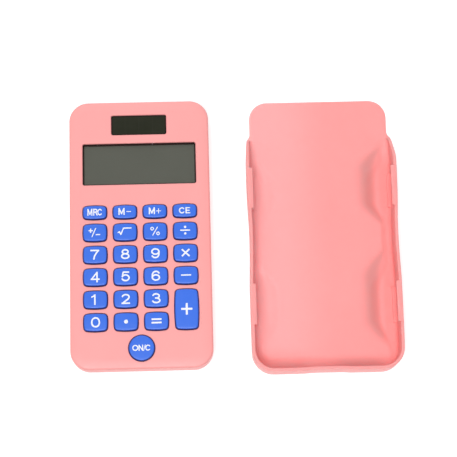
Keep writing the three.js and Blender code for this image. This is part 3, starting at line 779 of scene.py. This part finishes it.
# ---------------------------------------------------------------- battery lid
lid = loft([loop3(round_rect(x1 - x0 - 0.5 - 2 * g, y1 - y0 - 0.5 - 2 * g, 0.3 - g, 4, (x0 + x1) / 2, (y0 + y1) / 2), z)
            for g, z in ((0.09, 0.15), (0.026, 0.176), (0.0, 0.24), (0.0, 1.32), (0.08, 1.4))])
for x in (7, 17):
    lid = boolean(lid, [block(x - 2, x + 2, y1 - 1.5, y1 - 0.25, 1.2, 2.3)], "UNION")
    lid = boolean(lid, [block(x - 2, x + 2, y1 - 0.8, y1 + 1.4, 1.6, 2.3)], "UNION")
lid = boolean(lid, [rod(*DOOR_SCREW, 1.2, 2.2, 2.0)], "UNION")
lid = boolean(lid, [rod(*DOOR_SCREW, -1, 1.2, 1.75)], "DIFFERENCE")
lid = boolean(lid, [rod(*DOOR_SCREW, 1.0, 3, 0.95, 24)], "DIFFERENCE")


def groove(y):
    pts = round_rect(10, 0.9, 0.44, 6, 12, y + 0.45)
    small = round_rect(9.5, 0.4, 0.19, 6, 12, y + 0.45)
    return loft([loop3(pts, -1), loop3(pts, 0.2), loop3(pts * 0.5 + small * 0.5, 0.38), loop3(small, 0.45)])


lid = boolean(lid, [groove(30 + i * 2.4) for i in range(3)], "DIFFERENCE")
finish_piece("battery_lid", lid, body_mat, "battery_door_assembly", ("battery_door",), angle=42)


# --------------------------------------------------------------------- screws
def screw_mesh(x, y, z_head, z_seat, z_tip, r_head, r_shank, cross):
    n = 40
    loops = [loop3(circle(r_head - 0.22, n, x, y), z_head), loop3(circle(r_head - 0.08, n, x, y), z_head + 0.06),
             loop3(circle(r_head, n, x, y), z_head + 0.2), loop3(circle(r_head, n, x, y), z_seat - 0.05),
             loop3(circle(r_head - 0.05, n, x, y), z_seat), loop3(circle(r_shank * 0.8, n, x, y), z_seat)]
    z, k, pitch = z_seat + 0.12, 0, 0.55
    while z + pitch < z_tip - 0.35:
        for dz, rr_ in ((0.0, 0.8), (0.2, 0.82), (0.27, 1.0), (0.34, 0.82)):
            loops.append(loop3(circle(r_shank * rr_, n, x, y), z + dz))
        z += pitch
    loops += [loop3(circle(r_shank * 0.8, n, x, y), z_tip - 0.3), loop3(circle(r_shank * 0.35, n, x, y), z_tip)]
    data = loft(loops)
    w = cross / 5

    def slotted(lx_, ly_):
        deep = [(x - lx_ * 0.32, y - ly_ * 0.32), (x + lx_ * 0.32, y - ly_ * 0.32), (x + lx_ * 0.32, y + ly_ * 0.32), (x - lx_ * 0.32, y + ly_ * 0.32)]
        wide = [(x - lx_ / 2, y - ly_ / 2), (x + lx_ / 2, y - ly_ / 2), (x + lx_ / 2, y + ly_ / 2), (x - lx_ / 2, y + ly_ / 2)]
        return loft([loop3(wide, z_head - 0.5), loop3(wide, z_head + 0.08), loop3(deep, z_head + 0.55)])
    data = boolean(data, [slotted(cross, w)], "DIFFERENCE")
    return boolean(data, [slotted(w, cross)], "DIFFERENCE")


for i, (x, y) in enumerate(CASE_SCREWS, 1):
    finish_piece(f"case_screw_{i}_turned", screw_mesh(x, y, 0.7, 1.85, 7.4, 1.75, 0.85, 2.2), screw_mat, "calculator_body", (f"case_screw_{i}",), angle=30)
finish_piece("battery_door_screw_turned", screw_mesh(*DOOR_SCREW, 0.3, 1.14, 4.0, 1.5, 0.75, 1.9), screw_mat, "battery_door_assembly", ("battery_door_screw",), angle=30)

# button cell: a can with a rolled edge round a narrower cap that faces the lid
cx_, cy_ = CELL
cell = loft([loop3(circle(r, 72, cx_, cy_), z) for r, z in (
    (4.35, 1.55), (4.62, 1.58), (4.75, 1.68), (4.8, 1.86), (5.05, 1.88), (5.2, 1.82), (5.45, 1.8), (5.68, 1.86), (5.78, 2.0), (5.8, 2.2),
    (5.8, 4.25), (5.77, 4.42), (5.68, 4.54), (5.5, 4.6))])
finish_piece("button_cell_can", cell, cell_mat, "calculator_body", ("button_cell",), angle=40)

# ---------------------------------------------------------- display and solar
w, h = LCD_WINDOW
pane = loft([loop3(round_rect(w + 2.6 - 2 * d, h + 2.6 - 2 * d, 0.7, 6, 0, LCD_Y), z) for d, z in ((0.1, 8.47), (0.0, 8.55), (0.0, 9.07), (0.1, 9.15))])
finish_piece("lens_pane", pane, lens_mat, "calculator_body", ("display_lens",), angle=60)
glass = loft([loop3(round_rect(53 - 2 * d, 22 - 2 * d, 0.3, 4, 0, LCD_Y), z) for d, z in ((0.06, 6.3), (0.0, 6.36), (0.0, 7.84), (0.06, 7.9))])
finish_piece("lcd_glass", glass, lcd_mat, "calculator_body", ("lcd_panel",), angle=60)
w, h = SOLAR_WINDOW
panel = loft([loop3(round_rect(w + 1.9 - 2 * d, h + 1.9 - 2 * d, 0.8, 6, 0, SOLAR_Y), z) for d, z in ((0.08, 8.05), (0.0, 8.12), (0.0, 9.08), (0.08, 9.15))])
finish_piece("solar_panel", panel, solar_mat, "calculator_body", ("solar_cell",), angle=60)


# ---------------------------------------------------------------------- cover
def pchip(xs, ys, x):
    """Monotone cubic through the points; xs rise."""
    xs, ys, x = (np.asarray(a, float) for a in (xs, ys, x))
    h_ = np.diff(xs)
    d_ = np.diff(ys) / h_
    m_ = np.zeros(len(xs))
    for k in range(1, len(xs) - 1):
        if d_[k - 1] * d_[k] > 0:
            w1, w2 = 2 * h_[k] + h_[k - 1], h_[k] + 2 * h_[k - 1]
            m_[k] = (w1 + w2) / (w1 / d_[k - 1] + w2 / d_[k])
    m_[0], m_[-1] = d_[0], d_[-1]
    i = np.clip(np.searchsorted(xs, x) - 1, 0, len(xs) - 2)
    t = (x - xs[i]) / h_[i]
    return ((2 * t ** 3 - 3 * t ** 2 + 1) * ys[i] + (t ** 3 - 2 * t ** 2 + t) * h_[i] * m_[i]
            + (-2 * t ** 3 + 3 * t ** 2) * ys[i + 1] + (t ** 3 - t ** 2) * h_[i] * m_[i + 1])


SIDE = [(-53.4, 32.85), (-45, 32.95), (-36, 33.0), (-26, 33.0), (-18, 32.8), (-10, 32.55), (-4, 32.5), (2, 32.55), (9, 32.85),
        (16, 33.1), (24, 33.2), (30, 33.2), (36, 32.95), (41.6, 32.6), (43.4, 32.2), (44.4, 31.45), (45.8, 31.0), (52.7, 31.0)]
RAMP = [(-70, 14.2), (29.8, 14.2), (32, 13.5), (34.5, 11.6), (37.5, 8.6), (40.5, 5.4), (42.6, 2.9), (44.0, 1.4), (70, 1.4)]


def side_x(y):
    return pchip([p[0] for p in SIDE], [p[1] for p in SIDE], y)


def smooth01(t):
    t = np.clip(t, 0, 1)
    return t * t * (3 - 2 * t)


# right half of the outline, from the middle of the closed end round to the middle of the open end
half = [(x, COVER_END + 0.3 - 0.3 * float(smooth01((x - 6) / 5))) for x in np.linspace(0, 13, 14)]
cc = (32.85 - COVER_R, COVER_END + COVER_R)
half += [(x, COVER_END) for x in np.linspace(14, cc[0] - 0.5, 9)]
half += [(cc[0] + COVER_R * math.sin(rad(a)), cc[1] - COVER_R * math.cos(rad(a))) for a in np.linspace(0, 90, 25)]
stops = sorted({round(float(v), 3) for v in np.concatenate([
    np.arange(-52.4, 29, 1.3), np.arange(29, 41, 0.6), np.arange(41, 47, 0.28), np.arange(47, 52, 1.0)])}
    | {round(v + s, 3) for pair in LIPS_Y + RIBS_Y for v in pair for s in (-0.06, 0.06)})
keep_stops = []
for v in stops:
    near = min(abs(v - (q + s)) for pair in LIPS_Y + RIBS_Y for q in pair for s in (-0.06, 0.06))
    if near < 1e-6 or near > 0.3:
        keep_stops.append(v)
half += [(float(side_x(v)), v) for v in keep_stops]
pc = (PLATE_HW - PLATE_R, COVER_TOP - PLATE_R)
half += [(pc[0] + PLATE_R * math.cos(rad(a)), pc[1] + PLATE_R * math.sin(rad(a))) for a in np.linspace(0, 90, 21)]
half += [(x, COVER_TOP) for x in np.linspace(pc[0] - 1.2, 0, 16)]
half = np.array(half)
ring = np.concatenate([half, [(-x, y) for x, y in half[-2:0:-1]]])      # counter-clockwise
N = len(ring)
seg = np.linalg.norm(np.roll(ring, -1, 0) - ring, axis=1)
tan = (np.roll(ring, -1, 0) - np.roll(ring, 1, 0))
tan /= np.linalg.norm(tan, axis=1)[:, None]
raw = np.c_[tan[:, 1], -tan[:, 0]]                                      # outward
pos = np.concatenate([[0], np.cumsum(seg)[:-1]])
total = seg.sum()


def blurred(values, sigma):
    out = np.zeros_like(values)
    for i in range(N):
        d = np.abs(pos - pos[i])
        d = np.minimum(d, total - d)
        wgt = np.exp(-0.5 * (d / sigma) ** 2) * (seg + np.roll(seg, 1)) / 2
        out[i] = (values * wgt[:, None]).sum(0) / wgt.sum()
    return out / np.linalg.norm(out, axis=1)[:, None]


nrm_small, nrm_big = blurred(raw, 0.5), blurred(raw, 2.2)
ryy, rxx = ring[:, 1], ring[:, 0]
H = pchip([p[0] for p in RAMP], [p[1] for p in RAMP], ryy)
T = np.clip((H - COVER_FLOOR) / (COVER_H - COVER_FLOOR), 0, 1)
on_side = np.abs(rxx) > 31.2
lip = np.array([on_side[i] and any(a <= ryy[i] <= b for a, b in LIPS_Y) for i in range(N)])
rib = np.array([on_side[i] and any(a <= ryy[i] <= b for a, b in RIBS_Y) for i in range(N)])


def zone(y):
    """1 in the middle of each lip's stretch of the channel, 0 at the waist and the ends."""
    up = smooth01((y - 3.0) / 11) * smooth01((34.0 - y) / 11)
    low = smooth01((y + 52.0) / 13) * smooth01((-13.5 - y) / 13)
    return np.maximum(up, low)


def floor_z(x, y):
    """The inside of the cover's floor: a crowned middle, a hollow beside each pair of lips, and a rise to the walls."""
    ax = np.abs(x)
    m = zone(y)
    crown_ = 0.28 * smooth01((46 - y) / 10) * smooth01((y + 58) / 6)
    s0, s1 = 26.8 - 7.2 * m, 28.2 - 3.4 * m              # where the hollow starts, and its bottom
    walled = smooth01((43.5 - y) / 9) * smooth01((y + 57) / 8)
    hollow = -(0.40 + 0.72 * m) * walled * smooth01((ax - s0) / (s1 - s0))
    rise = (1.0 + 1.15 * m) * smooth01((44 - y) / 9) * np.clip((ax - s1) / (31.3 - s1), 0, 1.1) ** 1.6
    e = np.clip((y - (COVER_END + COVER_WALL)) / 6.0, 0, 1)
    end_rise = (2.6 + 1.3 * (1 - smooth01((ax - 4.0) / 8.0))) * (1 - np.sqrt(np.clip(1 - (1 - e) ** 2, 0, 1)))
    cx2, cy2 = 32.85 - COVER_R, COVER_END + COVER_R
    # in the rounded corners the rise follows the corner
    rr2 = np.hypot(np.maximum(ax - cx2, 0), np.maximum(cy2 - y, 0))
    corner = 2.6 * (1 - np.sqrt(np.clip(1 - np.clip((rr2 - (COVER_R - COVER_WALL - 6.0)) / 6.0, 0, 1) ** 2, 0, 1)))
    in_corner = (ax > cx2) & (y < cy2)
    end_rise = np.where(in_corner, corner * smooth01((cy2 - y) / 6.0), end_rise)
    return COVER_FLOOR + crown_ + hollow + rise + end_rise


def ring_at(inset, z, normals):
    p = ring - normals * np.broadcast_to(inset, (N,))[:, None]
    return np.c_[p, np.broadcast_to(z, (N,))]


rings = []
rb = 0.55 + 1.15 * T                          # rounding of the outside bottom edge
for k in range(7):
    a = rad(90 * k / 6)
    rings.append(ring_at(rb * (1 - math.sin(a)), rb * (1 - math.cos(a)), nrm_small))
rt = 0.45
rings.append(ring_at(0.0, rb + (H - rt - rb) * 0.5, nrm_small))
for k in range(6):
    a = rad(90 * k / 5)
    rings.append(ring_at(rt * (1 - math.cos(a)), H - rt + rt * math.sin(a), nrm_small))
flat = 1 - np.clip((H - COVER_FLOOR) / 1.2, 0, 1)      # 1 where there is no wall
lip_in = np.where(lip, np.abs(rxx) - LIP_LINE, COVER_WALL)
ri = 0.3 * (1 - flat)
for k in range(4):
    a = rad(90 * k / 3)
    rings.append(ring_at(lip_in - ri + ri * math.sin(a) + 0.15 * (k + 1) * flat, H - ri + ri * math.cos(a), nrm_small))
z_lip = COVER_FLOOR + (H - COVER_FLOOR) * (13.1 - COVER_FLOOR) / (COVER_H - COVER_FLOOR)
rings.append(ring_at(lip_in - 0.04 * (1 - flat) + 0.8 * flat, z_lip + 0.06 * (1 - flat), nrm_small))
rings.append(ring_at(lip_in - 0.12 * lip + 0.95 * flat, z_lip - 0.04 * (1 - flat), nrm_small))
rings.append(ring_at(COVER_WALL + 0.03 + 1.1 * flat, z_lip - 0.10 * (1 - flat), nrm_small))
# down the inner wall, then over the rib or round the fillet, to the floor
fil = 1.5
foot = COVER_WALL + 0.12
depth_end = foot + np.where(rib, 2.6, fil + 0.6)
depth_end = depth_end + 1.0 * flat
p_end = ring - nrm_big * depth_end[:, None]
z_end = floor_z(p_end[:, 0], p_end[:, 1])
z_start = np.where(rib, 2.8, np.minimum(z_end + fil, COVER_FLOOR + (H - COVER_FLOOR) * 0.6))
z_start = np.where(H < COVER_FLOOR + 0.05, COVER_FLOOR, z_start)
wall_mid = (z_lip + z_start) / 2
rings.append(ring_at(COVER_WALL + 0.06 + 1.25 * flat, wall_mid, nrm_small))
rib_in = np.abs(rxx) - RIB_LINE
K = 7
for k in range(K):
    u = k / (K - 1)
    a = rad(90 * u)
    inset_f = foot + (fil + 0.6) * (1 - math.cos(a))
    z_f = z_end + (z_start - z_end) * (1 - math.sin(a))
    # rib: flat top, rounded nose, straight face
    table = [(0.0, 1.0), (0.45, 1.0), (0.8, 0.995), (0.95, 0.95), (1.0, 0.82), (1.0, 0.4), (1.02, 0.05)][k]
    inset_r = foot + (rib_in - foot) * table[0]
    z_r = z_end + (2.8 - z_end) * table[1]
    inset = np.where(rib, inset_r, inset_f) + (1.4 + 0.12 * k) * flat
    rings.append(ring_at(inset, np.where(rib, z_r, z_f), nrm_small * (1 - u) + nrm_big * u))
p_last = ring - nrm_big * (depth_end + 0.5 + 1.6 * flat)[:, None]
rings.append(np.c_[p_last, floor_z(p_last[:, 0], p_last[:, 1])])
verts, faces = loft(rings, cap0=True, cap1=False)


def inside(poly, pts):
    x, y = pts[:, 0], pts[:, 1]
    c = np.zeros(len(pts), bool)
    j = len(poly) - 1
    for i in range(len(poly)):
        xi, yi, xj, yj = *poly[i], *poly[j]
        hit = ((yi > y) != (yj > y)) & (x < (xj - xi) * (y - yi) / (yj - yi + 1e-12) + xi)
        c ^= hit
        j = i
    return c


# the floor: a fine grid inside the last ring
border = rings[-1][:, :2]
gx, gy = np.meshgrid(np.arange(-30, 30.01, 1.0), np.arange(-61, 60.1, 1.25), indexing="ij")
grid = np.c_[gx.ravel(), gy.ravel()]
dist = np.min(np.linalg.norm(grid[:, None, :] - border[None, :, :], axis=2), axis=1)
grid = grid[inside(border, grid) & (dist > 0.75)]
pts2 = [Vector(p) for p in np.concatenate([border, grid])]
tri = delaunay_2d_cdt(pts2, [(i, (i + 1) % N) for i in range(N)], [], 0, 1e-6, True)
out_pts, _, out_faces, orig = tri[0], tri[1], tri[2], tri[3]
vid = {}
at = len(verts) - N
extra = []
for i, src in enumerate(orig):
    s = min(src) if src else None
    if s is not None and s < N:
        vid[i] = at + s
    else:
        vid[i] = len(verts) + len(extra)
        extra.append((out_pts[i][0], out_pts[i][1]))
extra = np.array(extra)
verts = np.concatenate([verts, np.c_[extra, floor_z(extra[:, 0], extra[:, 1])]])
cent = np.array([[sum(out_pts[i][k] for i in f) / 3 for k in (0, 1)] for f in out_faces])
ok = inside(border, cent)
faces += [tuple(vid[i] for i in f) for f, o in zip(out_faces, ok) if o]
verts[:, 0] += COVER_X
cover_ob = finish_piece("cover_shell", (verts, faces), cover_mat, "cover", ("slide_cover",), angle=42, weighted=False)

# where light and shade are painted into the cover's colour
cme = cover_ob.data
co = np.empty(len(cme.vertices) * 3, np.float32)
cme.vertices.foreach_get("co", co)
co = co.reshape(-1, 3) * 1000.0
px_, py_ = co[:, 0] - COVER_X, co[:, 1]
mz = np.maximum(zone(py_), zone(py_ - 5.5))
on_floor = smooth01((4.2 - co[:, 2]) / 1.5) * smooth01((co[:, 2] - 0.2) / 0.3)
mz = mz ** 0.6
mid = 27.6 - 6.3 * mz
# painted shade: dark crescents on the floor beside the right-hand lips
painted_shade_v = on_floor * np.exp(-np.abs((px_ - mid) / (1.3 + 2.5 * mz)) ** 2.6) * (0.75 + 0.25 * mz) * smooth01((43 - py_) / 8) * smooth01((py_ + 54) / 8)
# painted shade: a stronger, darker pink on the floor between the crescents and the right wall
painted_deep_shade_v = on_floor * smooth01((px_ - (26.8 - 1.8 * mz)) / 2.2) * smooth01((38 - py_) / 8) * (1 - np.clip(painted_shade_v, 0, 1))
# painted shade: the foot of the end wall is darker in two stretches; painted light: the left of the floor is a little
# paler
foot = smooth01((9 - co[:, 2]) / 2) * smooth01((co[:, 2] - 0.2) / 0.3) * np.exp(-np.abs((py_ + 58.6) / 2.9) ** 2.0)
painted_shade_v = np.maximum(painted_shade_v, foot * (0.62 * smooth01((px_ + 1) / 14) * smooth01((31 - px_) / 11) + 0.4 * smooth01((-px_ - 3) / 11) * smooth01((px_ + 31) / 10)))
painted_light_v = on_floor * smooth01((6 - px_) / 26) * smooth01((py_ + 56) / 6)
for key, val in (("painted_shade", painted_shade_v), ("deep", painted_deep_shade_v), ("painted_light", painted_light_v)):
    cme.attributes.new(key, "FLOAT", "POINT").data.foreach_set("value", val.astype(np.float32))

# -------------------------------------------------------------- floor, lights
me = bpy.data.meshes.new("studio_floor")
me.from_pydata([(-3, -3, 0), (3, -3, 0), (3, 3, 0), (-3, 3, 0)], [], [(0, 1, 2, 3)])
floor = make_object("studio_floor", me)
floor.location.z = -0.0002
fm = Mat("mat_floor")
fm.base(fm.ramp(fm.noise(3, 2.0), [(0.3, (0.60, 0.60, 0.60)), (0.7, (0.62, 0.62, 0.62))]))
fm.set(Roughness=0.9, Specular_IOR_Level=0.1, Emission_Color=(1, 1, 1, 1), Emission_Strength=0.55)
me.materials.append(fm.m)

world = bpy.data.worlds.new("studio")
world.use_nodes = True
bg = world.node_tree.nodes["Background"]
bg.inputs["Color"].default_value = (1, 1, 1, 1)
bg.inputs["Strength"].default_value = 0.36
scene.world = world


def area(name, loc, target, size, power, size_y=None):
    light = bpy.data.lights.new(name, "AREA")
    light.shape, light.size, light.energy = "RECTANGLE", size, power
    light.size_y = size_y or size
    ob = bpy.data.objects.new(name, light)
    scene.collection.objects.link(ob)
    ob.location = loc
    ob.rotation_euler = (Vector(target) - Vector(loc)).to_track_quat("-Z", "Y").to_euler()
    return ob


area("soft_key", (-0.27, -0.72, 2.35), (0.04, 0, 0), 0.95, 37.0, 0.95)
area("soft_fill", (-0.3, 1.3, 1.5), (0.04, 0, 0), 1.1, 10.5)

# --------------------------------------------------------------------- camera
cam = bpy.data.cameras.new("camera")
cam.sensor_width = 36.0
cam.lens = 1500 / 457 * 36.0
cam.clip_start, cam.clip_end = 0.01, 20
camera = bpy.data.objects.new("camera", cam)
camera.location = (0.02739, -0.13761, 0.65514)
camera.rotation_euler = (rad(12.144), rad(-0.697), rad(-1.494))
scene.collection.objects.link(camera)
scene.camera = camera
scene.view_settings.view_transform = "Standard"
scene.view_settings.look = "None"

bpy.context.view_layer.update()
